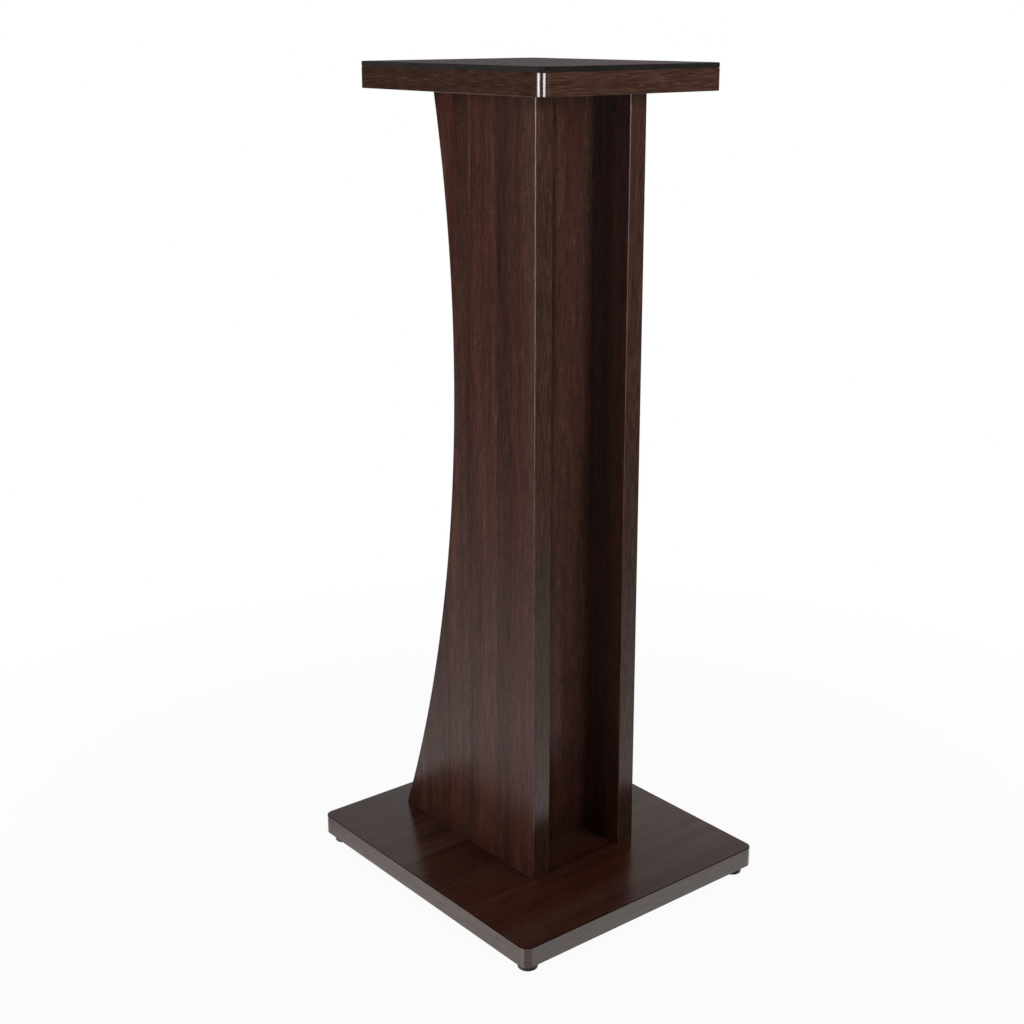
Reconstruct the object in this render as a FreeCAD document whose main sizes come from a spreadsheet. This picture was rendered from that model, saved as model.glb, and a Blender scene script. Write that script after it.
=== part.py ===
import FreeCAD, Part
import Sketcher
import math
import os
import re

# Speaker stand: a base plate on four levelling feet, an H-shaped column of two side panels with
# a concave rear edge and a set-back web, and a top plate with a thin pad.
# X runs across the front from left to right, Y from front to back, Z up from the floor.
# The origin is on the floor, under the middle of the base plate.

Vector = FreeCAD.Vector
X_AXIS = Vector(1, 0, 0)
Y_AXIS = Vector(0, 1, 0)
Z_AXIS = Vector(0, 0, 1)

SIZES = (
    # base plate
    ("base_width", 342.0),
    ("base_depth", 382.0),
    ("base_thick", 22.5),
    ("base_corner", 10.0),
    # top plate and its pad
    ("top_width", 240.0),
    ("top_depth", 304.0),
    ("top_thick", 22.5),
    ("top_corner", 10.0),
    ("pad_thick", 5.5),
    ("pad_softening", 0.8),
    # column
    ("column_height", 853.5),
    ("column_width", 149.0),
    ("side_thick", 22.5),
    ("front_reach", 88.5),
    ("waist_depth", 138.0),
    ("waist_height", 551.0),
    ("rear_radius", 1512.0),
    ("web_thick", 22.5),
    ("web_setback", 56.0),
    # edge bands
    ("band_thick", 1.0),
    ("band_bevel", 0.4),
    # cam fasteners
    ("cam_dia", 15.0),
    ("cam_deep", 15.5),
    ("cam_inset", 23.0),
    ("cam_play", 0.1),
    ("cam_front", 58.0),
    ("cam_rear_inset", 40.5),
    ("web_cam_low", 150.0),
    ("web_cam_high", 700.0),
    ("bolt_head", 7.0),
    ("bolt_head_thick", 3.0),
    ("bolt_shank", 5.0),
    ("bolt_bite", 11.0),
    ("bolt_bore", 8.0),
    ("recess_wide", 6.0),
    ("recess_deep", 2.5),
    ("recess_play", 0.2),
    ("cap_dia", 17.0),
    ("cap_thick", 1.2),
    ("cap_bevel", 0.5),
    # dowels
    ("dowel_dia", 8.0),
    ("dowel_long", 30.0),
    ("dowel_bite", 11.0),
    ("dowel_play", 0.1),
    ("dowel_front", 22.0),
    ("top_dowel_inset", 18.5),
    ("base_dowel_inset", 92.0),
    ("web_dowel_low", 50.0),
    ("web_dowel_high", 800.0),
    # screws from under the base plate
    ("screw_long", 50.0),
    ("screw_head", 10.0),
    ("screw_shank", 6.0),
    ("screw_play", 0.1),
    ("screw_key", 4.0),
    ("screw_key_deep", 3.0),
    ("screw_front", 60.0),
    ("screw_rear_inset", 39.0),
    # levelling feet
    ("foot_inset", 17.0),
    ("foot_dia", 21.7),
    ("disc_thick", 7.0),
    ("foot_softening", 1.2),
    ("collar_thick", 3.0),
    ("collar_across", 13.0),
    ("stud_dia", 6.0),
    ("stud_reach", 18.0),
    ("stud_play", 0.05),
    ("spigot_dia", 8.0),
    ("spigot_deep", 4.0),
    ("spigot_play", 0.05),
    ("insert_dia", 10.0),
    ("insert_long", 13.0),
    ("insert_play", 0.05),
    ("stud_well", 20.0),
)

# Heights and places that several pieces share, worked out from the sizes above.
PLACES = (
    ("base_floor", "disc_thick + collar_thick"),
    ("column_floor", "base_floor + base_thick"),
    ("top_floor", "column_floor + column_height"),
    ("pad_floor", "top_floor + top_thick"),
    ("side_x", "(column_width - side_thick) / 2"),
    ("web_width", "column_width - 2 * side_thick"),
    ("web_front", "web_setback - front_reach"),
    ("web_middle", "web_front + web_thick / 2"),
    ("arc_y", "waist_depth + rear_radius - front_reach"),
    ("head_rear", "arc_y - sqrt(rear_radius ^ 2 - (column_height - waist_height) ^ 2)"),
    ("heel_rear", "arc_y - sqrt(rear_radius ^ 2 - waist_height ^ 2)"),
    ("cam_rear", "head_rear - cam_rear_inset"),
    ("top_dowel_rear", "head_rear - top_dowel_inset"),
    ("base_dowel_rear", "heel_rear - base_dowel_inset"),
    ("screw_rear", "heel_rear - screw_rear_inset"),
    ("dowel_bore", "dowel_dia + dowel_play"),
    ("dowel_sink", "dowel_long - dowel_bite + dowel_play"),
    ("screw_bore", "screw_shank + screw_play"),
    ("screw_sink", "screw_long - base_thick + screw_play"),
    ("foot_x", "base_width / 2 - foot_inset"),
    ("foot_y", "base_depth / 2 - foot_inset"),
)

doc = FreeCAD.newDocument("SpeakerStand")
sheet = doc.addObject("Spreadsheet::Sheet", "Sizes")
NAMES = [name for name, rule in SIZES + PLACES]


def bound(text):
    """The expression with each size's name pointed at the sheet."""
    return re.sub(r"[a-z]\w*", lambda word: "Sizes." + word[0] if word[0] in NAMES else word[0], text)


def fill_sheet():
    """Write every size and place into the sheet, one row each, with its name as the alias."""
    for row, (name, rule) in enumerate(SIZES + PLACES, start=1):
        sheet.set("A%d" % row, name)
        sheet.setAlias("B%d" % row, name)
        if isinstance(rule, float):
            sheet.set("B%d" % row, str(rule))
        else:
            sheet.set("B%d" % row, "=" + bound(rule).replace("Sizes.", ""))
    doc.recompute()


def size(name):
    """The present value of one size."""
    return float(getattr(sheet, name))


def place(piece, x=None, y=None, z=None, turn=None):
    """Put a piece at sizes from the sheet, turned first where a turn is given."""
    if turn is not None:
        piece.Placement = FreeCAD.Placement(Vector(), turn)
    for axis, rule in (("x", x), ("y", y), ("z", z)):
        if rule is not None:
            piece.setExpression("Placement.Base." + axis, bound(rule))
    return piece


# ---- sketches ----


def new_body(label):
    body = doc.addObject("PartDesign::Body", label)
    body.Label = label
    return body


def new_sketch(body, name, role, lift=None):
    """An empty sketch on one of the body's origin planes, lifted along the plane's normal."""
    sketch = body.newObject("Sketcher::SketchObject", body.Name + "_" + name)
    plane = [item for item in body.Origin.OriginFeatures if item.Role == role][0]
    sketch.AttachmentSupport = [(plane, "")]
    sketch.MapMode = "FlatFace"
    if lift is not None:
        sketch.setExpression("AttachmentOffset.Base.z", bound(lift))
    return sketch


def tie(sketch, rule, *constraint):
    """Add a dimension and bind it to the sheet."""
    index = sketch.addConstraint(Sketcher.Constraint(*constraint))
    name = "size_%d" % index
    sketch.renameConstraint(index, name)
    sketch.setExpression("Constraints." + name, bound(rule))


def pin(sketch, geometry, point, x, y):
    """Fix a point at (x, y) from the sketch's origin; 0 lays it on the axis."""
    drawn = sketch.getPoint(geometry, point)
    if x == "0":
        sketch.addConstraint(Sketcher.Constraint("PointOnObject", geometry, point, -2))
    else:
        tie(sketch, x, "DistanceX", -1, 1, geometry, point, drawn.x)
    if y == "0":
        sketch.addConstraint(Sketcher.Constraint("PointOnObject", geometry, point, -1))
    else:
        tie(sketch, y, "DistanceY", -1, 1, geometry, point, drawn.y)


def draw_polygon(sketch, corners):
    """A closed outline of straight sides with each corner fixed at its (x, y)."""
    count = len(corners)
    ring = [Vector(math.cos(2 * math.pi * k / count), math.sin(2 * math.pi * k / count), 0)
            for k in range(count + 1)]
    sides = [sketch.addGeometry(Part.LineSegment(ring[k], ring[k + 1])) for k in range(count)]
    for k, side in enumerate(sides):
        sketch.addConstraint(Sketcher.Constraint("Coincident", side, 2, sides[(k + 1) % count], 1))
        pin(sketch, side, 1, *corners[k])


def draw_rectangle(sketch, left, right, low, high):
    draw_polygon(sketch, ((left, low), (right, low), (right, high), (left, high)))


def draw_circles(sketch, spots, diameter):
    for x, y in spots:
        circle = sketch.addGeometry(Part.Circle(Vector(), Z_AXIS, 1.0))
        pin(sketch, circle, 3, x, y)
        tie(sketch, diameter, "Diameter", circle, 1.0)


def draw_rounded(sketch, wide, deep, corner):
    """A rectangle with round corners, centred on the sketch's origin.

    Each argument is a pair: the value now, for the first drawing, and the rule that binds it.
    """
    half_x, half_y, radius = wide[0] / 2, deep[0] / 2, corner[0]
    inner_x, inner_y = half_x - radius, half_y - radius
    runs = (
        (Vector(-inner_x, -half_y, 0), Vector(inner_x, -half_y, 0), "Horizontal"),
        (Vector(half_x, -inner_y, 0), Vector(half_x, inner_y, 0), "Vertical"),
        (Vector(inner_x, half_y, 0), Vector(-inner_x, half_y, 0), "Horizontal"),
        (Vector(-half_x, inner_y, 0), Vector(-half_x, -inner_y, 0), "Vertical"),
    )
    centres = ((inner_x, -inner_y), (inner_x, inner_y), (-inner_x, inner_y), (-inner_x, -inner_y))
    lines, arcs = [], []
    for k, (start, end, direction) in enumerate(runs):
        lines.append(sketch.addGeometry(Part.LineSegment(start, end)))
        sketch.addConstraint(Sketcher.Constraint(direction, lines[-1]))
        circle = Part.Circle(Vector(centres[k][0], centres[k][1], 0), Z_AXIS, radius)
        first = (k - 1) * math.pi / 2
        arcs.append(sketch.addGeometry(Part.ArcOfCircle(circle, first, first + math.pi / 2)))
    for k in range(4):
        sketch.addConstraint(Sketcher.Constraint("Tangent", lines[k], 2, arcs[k], 1))
        sketch.addConstraint(Sketcher.Constraint("Tangent", arcs[k], 2, lines[(k + 1) % 4], 1))
    for k in range(1, 4):
        sketch.addConstraint(Sketcher.Constraint("Equal", arcs[0], arcs[k]))
    sketch.addConstraint(Sketcher.Constraint("Symmetric", arcs[0], 3, arcs[2], 3, -1, 1))
    tie(sketch, corner[1], "Radius", arcs[0], radius)
    tie(sketch, wide[1], "DistanceX", lines[3], 1, lines[1], 1, wide[0])
    tie(sketch, deep[1], "DistanceY", lines[0], 1, lines[2], 1, deep[0])


# ---- features ----


def pad(body, sketch, thickness, reverse=False):
    feature = body.newObject("PartDesign::Pad", sketch.Name + "_pad")
    feature.Profile = sketch
    feature.setExpression("Length", bound(thickness))
    feature.Reversed = reverse
    doc.recompute()
    return feature


def pocket(body, sketch, depth, reverse=False):
    """Cut a sketch into the body and make sure that it took something away."""
    before = body.Shape.Volume
    feature = body.newObject("PartDesign::Pocket", sketch.Name + "_cut")
    feature.Profile = sketch
    feature.setExpression("Length", bound(depth))
    feature.Reversed = reverse
    doc.recompute()
    if not body.Shape.Volume < before:
        raise RuntimeError(feature.Name + " cuts nothing")
    return feature


def drill(body, name, role, lift, spots, diameter, depth, reverse=False):
    """Round holes of one size and depth from one plane."""
    sketch = new_sketch(body, name, role, lift)
    draw_circles(sketch, spots, diameter)
    return pocket(body, sketch, depth, reverse)


def chamfer(body, amount, wanted):
    """Bevel the edges of the body's last feature for which wanted(edge) is true."""
    base = body.Tip
    names = ["Edge%d" % (k + 1) for k, edge in enumerate(base.Shape.Edges) if wanted(edge)]
    feature = body.newObject("PartDesign::Chamfer", body.Name + "_bevel")
    feature.Base = (base, names)
    feature.setExpression("Size", bound(amount))
    doc.recompute()
    return feature


def middle_of(edge):
    return edge.valueAt((edge.FirstParameter + edge.LastParameter) / 2)


def outside_by(point, wide, deep, corner):
    """How far a point lies outside a rectangle with round corners."""
    over_x = abs(point.x) - (wide / 2 - corner)
    over_y = abs(point.y) - (deep / 2 - corner)
    return math.hypot(max(over_x, 0), max(over_y, 0)) + min(max(over_x, over_y), 0) - corner


def turned(label, stations):
    """A round piece about its own Z axis, from (radius, height) corners."""
    body = new_body(label)
    sketch = new_sketch(body, "profile", "XZ_Plane")
    draw_polygon(sketch, stations)
    feature = body.newObject("PartDesign::Revolution", body.Name + "_turn")
    feature.Profile = sketch
    feature.ReferenceAxis = (sketch, ["V_Axis"])
    doc.recompute()
    return body


def prism(name, sides, radius, height):
    """An upright prism about Z, its corners at the radius."""
    rod = doc.addObject("Part::Prism", name)
    rod.Polygon = sides
    rod.setExpression("Circumradius", bound(radius))
    rod.setExpression("Height", bound(height))
    return rod


def hexagon(name, radius, height):
    return prism(name, 6, radius, height)


def group(label, master, spots):
    """Identical fasteners in one node: one master and a placed copy of it for each spot."""
    copies = []
    for k, spot in enumerate(spots):
        copy = doc.addObject("App::Link", "%s_%d" % (label, k + 1))
        copy.LinkedObject = master
        copies.append(place(copy, **spot))
    node = doc.addObject("Part::Compound", label)
    node.Label = label
    node.Links = copies
    return node


def turn_to(y_way, z_way):
    """The turn that carries a fastener's own Y and Z to two given directions."""
    return FreeCAD.Rotation(y_way.cross(z_way), y_way, z_way, "ZYX")


# ---- plates and their edge bands ----

PLATES = {
    "base": {"floor": "base_floor", "thick": "base_thick"},
    "top": {"floor": "top_floor", "thick": "top_thick"},
}


def plate_outline(kind, inset, rule):
    """The sizes of a plate's outline, drawn in by an inset, as pairs of value and rule."""
    wide = (size(kind + "_width") - 2 * inset, "%s_width - 2 * %s" % (kind, rule))
    deep = (size(kind + "_depth") - 2 * inset, "%s_depth - 2 * %s" % (kind, rule))
    corner = (size(kind + "_corner") - inset, "%s_corner - %s" % (kind, rule))
    return wide, deep, corner


def plate(kind):
    """The laminated board inside the edge band."""
    body = new_body(kind + "_board")
    sketch = new_sketch(body, "outline", "XY_Plane")
    draw_rounded(sketch, *plate_outline(kind, size("band_thick"), "band_thick"))
    pad(body, sketch, PLATES[kind]["thick"])
    return place(body, z=PLATES[kind]["floor"])


def plate_band(kind):
    """The band round a plate's edge, with its two outer arrises bevelled."""
    body = new_body(kind + "_edge_band")
    sketch = new_sketch(body, "outline", "XY_Plane")
    draw_rounded(sketch, *plate_outline(kind, 0.0, "0"))
    draw_rounded(sketch, *plate_outline(kind, size("band_thick"), "band_thick"))
    pad(body, sketch, PLATES[kind]["thick"])
    outline = [size(kind + "_" + part) for part in ("width", "depth", "corner")]
    levels = (0.0, size(PLATES[kind]["thick"]))

    def outer_rim(edge):
        outside = outside_by(middle_of(edge), *outline) > -size("band_thick") / 2
        return outside and near_level(edge, *levels)

    chamfer(body, "band_bevel", outer_rim)
    return place(body, z=PLATES[kind]["floor"])


def near_level(edge, *levels):
    """True for an edge that lies flat at one of the levels."""
    flat = edge.BoundBox.ZLength < 1e-6
    return flat and any(abs(edge.BoundBox.ZMin - level) < 1e-6 for level in levels)


def make_base_board():
    """The base plate, drilled for dowels from above, and for screws and feet from below."""
    body = plate("base")
    dowels = side_dowel_spots("base_dowel_rear")
    drill(body, "dowel_holes", "XY_Plane", "base_thick", dowels, "dowel_bore", "dowel_bite")
    drill(body, "screw_holes", "XY_Plane", None, screw_spots(), "screw_bore", "base_thick",
          reverse=True)
    hole_radius = size("screw_bore") / 2

    def screw_mouth(edge):
        return near_level(edge, 0.0) and abs(getattr(edge.Curve, "Radius", 0) - hole_radius) < 1e-6

    chamfer(body, "(screw_head - screw_shank) / 2", screw_mouth)
    feet = [(x, y) for x in ("foot_x", "-foot_x") for y in ("foot_y", "-foot_y")]
    drill(body, "foot_holes", "XY_Plane", None, feet, "insert_dia + 2 * insert_play", "stud_well",
          reverse=True)
    return body


def make_top_board():
    """The top plate, drilled from below for the cam bolts and the dowels."""
    body = plate("top")
    bolts = [(side + "side_x", y) for side in ("", "-") for y in ("-cam_front", "cam_rear")]
    drill(body, "bolt_holes", "XY_Plane", None, bolts, "bolt_shank", "bolt_bite", reverse=True)
    dowels = side_dowel_spots("top_dowel_rear")
    drill(body, "dowel_holes", "XY_Plane", None, dowels, "dowel_bore", "dowel_bite", reverse=True)
    return body


def make_top_pad():
    """The thin pad on the top plate, with its upper edge softened."""
    body = new_body("top_pad")
    sketch = new_sketch(body, "outline", "XY_Plane")
    draw_rounded(sketch, *plate_outline("top", 0.0, "0"))
    pad(body, sketch, "pad_thick")
    chamfer(body, "pad_softening", lambda edge: near_level(edge, size("pad_thick")))
    return place(body, z="pad_floor")


# ---- column ----


def draw_side(sketch, front, radius):
    """A side panel's outline: straight front, flat ends, one concave arc at the rear.

    front is the front edge's place and radius the arc's, about a centre behind the waist. Each
    is a pair: the value now, for the first drawing, and the rule that binds it.
    """
    tall, waist = size("column_height"), size("waist_height")
    centre_y = size("arc_y")
    low = centre_y - math.sqrt(radius[0] ** 2 - waist ** 2)
    high = centre_y - math.sqrt(radius[0] ** 2 - (tall - waist) ** 2)
    bottom = sketch.addGeometry(Part.LineSegment(Vector(front[0], 0, 0), Vector(low, 0, 0)))
    circle = Part.Circle(Vector(centre_y, waist, 0), Z_AXIS, radius[0])
    start = math.atan2(tall - waist, high - centre_y)
    end = math.atan2(-waist, low - centre_y) + 2 * math.pi
    rear_arc = sketch.addGeometry(Part.ArcOfCircle(circle, start, end))
    top = sketch.addGeometry(Part.LineSegment(Vector(high, tall, 0), Vector(front[0], tall, 0)))
    face = sketch.addGeometry(Part.LineSegment(Vector(front[0], tall, 0), Vector(front[0], 0, 0)))
    sketch.addConstraint(Sketcher.Constraint("Coincident", bottom, 2, rear_arc, 2))
    sketch.addConstraint(Sketcher.Constraint("Coincident", rear_arc, 1, top, 1))
    sketch.addConstraint(Sketcher.Constraint("Coincident", top, 2, face, 1))
    sketch.addConstraint(Sketcher.Constraint("Coincident", face, 2, bottom, 1))
    sketch.addConstraint(Sketcher.Constraint("Horizontal", bottom))
    sketch.addConstraint(Sketcher.Constraint("Horizontal", top))
    sketch.addConstraint(Sketcher.Constraint("Vertical", face))
    pin(sketch, bottom, 1, front[1], "0")
    pin(sketch, rear_arc, 3, "arc_y", "waist_height")
    tie(sketch, radius[1], "Radius", rear_arc, radius[0])
    tie(sketch, "column_height", "DistanceY", face, 2, face, 1, tall)


def make_side_panel(name, inward):
    """One side panel; inward is +1 where its inner face looks along +X, and -1 otherwise."""
    body = new_body(name + "_side_panel")
    band = size("band_thick")
    sketch = new_sketch(body, "outline", "YZ_Plane", "-side_thick / 2")
    draw_side(sketch, (band - size("front_reach"), "band_thick - front_reach"),
              (size("rear_radius") + band, "rear_radius + band_thick"))
    pad(body, sketch, "side_thick")

    inner = "side_thick / 2" if inward > 0 else "-side_thick / 2"
    into = inward < 0
    cams = [(y, "column_height - cam_inset") for y in ("-cam_front", "cam_rear")]
    drill(body, "cam_holes", "YZ_Plane", inner, cams, "cam_dia + cam_play", "cam_deep", into)
    web_cams = [("web_middle", z) for z in ("web_cam_low", "web_cam_high")]
    drill(body, "bolt_holes", "YZ_Plane", inner, web_cams, "bolt_shank", "bolt_bite", into)
    dowels = [("web_middle", z) for z in ("web_dowel_low", "web_dowel_high")]
    drill(body, "dowel_holes", "YZ_Plane", inner, dowels, "dowel_bore", "dowel_bite", into)

    bolts = [("0", y) for y in ("-cam_front", "cam_rear")]
    drill(body, "bolt_bores", "XY_Plane", "column_height", bolts, "bolt_bore", "cam_inset")
    for end, level, up in (("top", "column_height", False), ("base", None, True)):
        ends = [("0", y) for y in ("-dowel_front", end + "_dowel_rear")]
        drill(body, end + "_dowel_holes", "XY_Plane", level, ends, "dowel_bore", "dowel_sink", up)
    screws = [("0", y) for y in ("-screw_front", "screw_rear")]
    drill(body, "screw_pilots", "XY_Plane", None, screws, "screw_bore", "screw_sink", reverse=True)
    return place(body, x="side_x" if inward < 0 else "-side_x", z="column_floor")


def make_front_band(name, side):
    """The straight band on a side panel's front edge."""
    body = new_body(name + "_front_edge_band")
    sketch = new_sketch(body, "section", "XY_Plane")
    draw_rectangle(sketch, "-side_thick / 2", "side_thick / 2", "0", "band_thick")
    pad(body, sketch, "column_height")
    half = size("side_thick") / 2

    def front_arris(edge):
        point = middle_of(edge)
        upright = edge.BoundBox.ZLength > half
        return upright and abs(point.y) < 1e-6

    chamfer(body, "band_bevel", front_arris)
    return place(body, x=side + "side_x", y="-front_reach", z="column_floor")


def make_rear_band(name, side):
    """The band bent along a side panel's concave rear edge."""
    body = new_body(name + "_rear_edge_band")
    sketch = new_sketch(body, "outline", "YZ_Plane", "-side_thick / 2")
    draw_rear_strip(sketch)
    pad(body, sketch, "side_thick")
    radius = size("rear_radius")

    def rear_arris(edge):
        return abs(getattr(edge.Curve, "Radius", 0) - radius) < 1e-3

    chamfer(body, "band_bevel", rear_arris)
    return place(body, x=side + "side_x", z="column_floor")


def draw_rear_strip(sketch):
    """Two arcs about the same centre, closed by short lines along the panel's two ends."""
    tall, waist, centre_y = size("column_height"), size("waist_height"), size("arc_y")
    outer, inner = size("rear_radius"), size("rear_radius") + size("band_thick")
    ends = []
    arcs = []
    for radius, rule in ((outer, "rear_radius"), (inner, "rear_radius + band_thick")):
        low = Vector(centre_y - math.sqrt(radius ** 2 - waist ** 2), 0, 0)
        high = Vector(centre_y - math.sqrt(radius ** 2 - (tall - waist) ** 2), tall, 0)
        circle = Part.Circle(Vector(centre_y, waist, 0), Z_AXIS, radius)
        start = math.atan2(tall - waist, high.x - centre_y)
        end = math.atan2(-waist, low.x - centre_y) + 2 * math.pi
        arcs.append(sketch.addGeometry(Part.ArcOfCircle(circle, start, end)))
        pin(sketch, arcs[-1], 3, "arc_y", "waist_height")
        tie(sketch, rule, "Radius", arcs[-1], radius)
        ends.append((low, high))
    top = sketch.addGeometry(Part.LineSegment(ends[1][1], ends[0][1]))
    foot = sketch.addGeometry(Part.LineSegment(ends[0][0], ends[1][0]))
    sketch.addConstraint(Sketcher.Constraint("Coincident", top, 1, arcs[1], 1))
    sketch.addConstraint(Sketcher.Constraint("Coincident", top, 2, arcs[0], 1))
    sketch.addConstraint(Sketcher.Constraint("Coincident", foot, 1, arcs[0], 2))
    sketch.addConstraint(Sketcher.Constraint("Coincident", foot, 2, arcs[1], 2))
    sketch.addConstraint(Sketcher.Constraint("PointOnObject", foot, 1, -1))
    sketch.addConstraint(Sketcher.Constraint("Horizontal", foot))
    sketch.addConstraint(Sketcher.Constraint("Horizontal", top))
    tie(sketch, "column_height", "DistanceY", -1, 1, top, 1, tall)


def make_web_panel():
    """The web, drilled in both long edges, with its cams in the rear face."""
    body = new_body("web_panel")
    sketch = new_sketch(body, "outline", "XZ_Plane")
    draw_rectangle(sketch, "-web_width / 2", "web_width / 2", "0", "column_height")
    pad(body, sketch, "web_thick", reverse=True)

    cams = [(x, z) for x in ("web_width / 2 - cam_inset", "cam_inset - web_width / 2")
            for z in ("web_cam_low", "web_cam_high")]
    drill(body, "cam_holes", "XZ_Plane", "-web_thick", cams, "cam_dia + cam_play", "cam_deep",
          reverse=True)
    bolts = [("web_thick / 2", z) for z in ("web_cam_low", "web_cam_high")]
    dowels = [("web_thick / 2", z) for z in ("web_dowel_low", "web_dowel_high")]
    for edge, lift, into in (("right", "web_width / 2", False), ("left", "-web_width / 2", True)):
        drill(body, edge + "_bolt_bores", "YZ_Plane", lift, bolts, "bolt_bore", "cam_inset", into)
        drill(body, edge + "_dowel_holes", "YZ_Plane", lift, dowels, "dowel_bore", "dowel_sink",
              into)
    return place(body, y="web_front", z="column_floor")


# ---- fasteners ----

DOWEL_FLUTES = 12


def top_joint_spots(height):
    """The four cam places under the top plate, each with its cam's turn."""
    spots = []
    for x, inner in (("side_x", -X_AXIS), ("-side_x", X_AXIS)):
        for y in ("-cam_front", "cam_rear"):
            face = x + (" - side_thick / 2" if inner.x < 0 else " + side_thick / 2")
            spots.append({"x": face, "y": y, "z": height, "turn": turn_to(Z_AXIS, inner)})
    return spots


def web_joint_spots():
    """The four cam places on the web's rear face, each with its cam's turn."""
    spots = []
    for x, way in (("web_width / 2 - cam_inset", X_AXIS), ("cam_inset - web_width / 2", -X_AXIS)):
        for z in ("web_cam_low", "web_cam_high"):
            spots.append({"x": x, "y": "web_front + web_thick", "z": "column_floor + " + z,
                          "turn": turn_to(way, Y_AXIS)})
    return spots


def make_cam(label, board):
    """A cam housing: its face at Z 0, slotted for a bolt coming in along +Y at half the board."""
    blank = turned(label + "_blank", (("0", "-cam_deep"), ("cam_dia / 2", "-cam_deep"),
                                      ("cam_dia / 2", "0"), ("0", "0")))
    slot = doc.addObject("Part::Box", label + "_slot")
    slot.setExpression("Length", bound("bolt_bore"))
    slot.setExpression("Width", bound("cam_dia"))
    slot.setExpression("Height", bound("bolt_bore"))
    place(slot, x="-bolt_bore / 2", y="-bolt_bore / 2", z="-(%s + bolt_bore) / 2" % board)
    recess = hexagon(label + "_recess", "recess_wide / 2", "recess_deep")
    place(recess, z="-recess_deep")
    tools = doc.addObject("Part::MultiFuse", label + "_hollows")
    tools.Shapes = [slot, recess]
    cam = doc.addObject("Part::Cut", label)
    cam.Base = blank
    cam.Tool = tools
    return cam


def make_cam_bolt():
    """A cam bolt: its head at the cam's middle, its shank out along +Z past the joint."""
    return turned("cam_bolt", (
        ("0", "-bolt_head_thick / 2"), ("bolt_head / 2", "-bolt_head_thick / 2"),
        ("bolt_head / 2", "bolt_head_thick / 2"), ("bolt_shank / 2", "bolt_head_thick / 2"),
        ("bolt_shank / 2", "cam_inset + bolt_bite"), ("0", "cam_inset + bolt_bite")))


def make_cover_cap():
    """A cover cap: a bevelled disc on the board's face and a stem in the cam's recess."""
    disc = turned("cap_disc", (("0", "0"), ("cap_dia / 2", "0"),
                               ("cap_dia / 2 - cap_bevel", "cap_thick"), ("0", "cap_thick")))
    stem = hexagon("cap_stem", "recess_wide / 2 - recess_play",
                   "recess_deep - recess_play + cap_thick / 2")
    place(stem, z="recess_play - recess_deep")
    cap = doc.addObject("Part::MultiFuse", "cover_cap")
    cap.Shapes = [disc, stem]
    return cap


def make_dowel():
    """A fluted hardwood dowel, with the joint's face at Z 0 and its bite above."""
    rod = prism("dowel_rod", DOWEL_FLUTES, "dowel_dia / 2", "dowel_long")
    place(rod, z="dowel_bite - dowel_long")
    dowel = doc.addObject("Part::Compound", "dowel")
    dowel.Links = [rod]
    return dowel


def make_base_screw():
    """A countersunk screw with a hexagon socket, its head flush at Z 0, pointing up."""
    blank = turned("base_screw_blank", (
        ("0", "0"), ("screw_head / 2", "0"),
        ("screw_shank / 2", "(screw_head - screw_shank) / 2"),
        ("screw_shank / 2", "screw_long"), ("0", "screw_long")))
    socket = hexagon("base_screw_socket", "screw_key / sqrt(3)", "screw_key_deep")
    screw = doc.addObject("Part::Cut", "base_screw")
    screw.Base = blank
    screw.Tool = socket
    return screw


def screw_spots():
    """Where the four screws go up through the base plate, as (x, y)."""
    return [(x, y) for x in ("side_x", "-side_x") for y in ("-screw_front", "screw_rear")]


def side_dowel_spots(rear):
    """Where the four dowels at one end of the side panels stand, as (x, y)."""
    return [(x, y) for x in ("side_x", "-side_x") for y in ("-dowel_front", rear)]


def make_fasteners():
    """Every hidden fastener, identical ones together."""
    cam_height = "top_floor - cam_inset"
    bolt, cap, dowel = make_cam_bolt(), make_cover_cap(), make_dowel()
    nodes = [
        group("top_cam_housings", make_cam("top_cam", "side_thick"), top_joint_spots(cam_height)),
        group("web_cam_housings", make_cam("web_cam", "web_thick"), web_joint_spots()),
        group("top_cover_caps", cap, top_joint_spots(cam_height)),
        group("web_cover_caps", cap, web_joint_spots()),
    ]
    top_bolts = [{"x": x, "y": y, "z": cam_height} for x in ("side_x", "-side_x")
                 for y in ("-cam_front", "cam_rear")]
    web_bolts = [dict(spot, y="web_middle", turn=turn_to(Y_AXIS, way))
                 for spot, way in zip(web_joint_spots(), (X_AXIS, X_AXIS, -X_AXIS, -X_AXIS))]
    nodes.append(group("top_cam_bolts", bolt, top_bolts))
    nodes.append(group("web_cam_bolts", bolt, web_bolts))

    down = turn_to(Y_AXIS, -Z_AXIS)
    nodes.append(group("top_dowels", dowel, [
        {"x": x, "y": y, "z": "top_floor"} for x, y in side_dowel_spots("top_dowel_rear")]))
    nodes.append(group("base_dowels", dowel, [
        {"x": x, "y": y, "z": "column_floor", "turn": down}
        for x, y in side_dowel_spots("base_dowel_rear")]))
    nodes.append(group("web_dowels", dowel, [
        {"x": x, "y": "web_middle", "z": "column_floor + " + z, "turn": turn_to(Y_AXIS, way)}
        for x, way in (("web_width / 2", X_AXIS), ("-web_width / 2", -X_AXIS))
        for z in ("web_dowel_low", "web_dowel_high")]))
    nodes.append(group("base_screws", make_base_screw(), [
        {"x": x, "y": y, "z": "base_floor"} for x, y in screw_spots()]))
    insert = turned("insert", (
        ("stud_dia / 2 + stud_play", "0"), ("insert_dia / 2", "0"),
        ("insert_dia / 2", "insert_long"), ("stud_dia / 2 + stud_play", "insert_long")))
    nodes.append(group("foot_inserts", insert, [
        {"x": x, "y": y, "z": "base_floor"}
        for x in ("foot_x", "-foot_x") for y in ("foot_y", "-foot_y")]))
    return nodes


# ---- levelling feet ----


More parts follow.
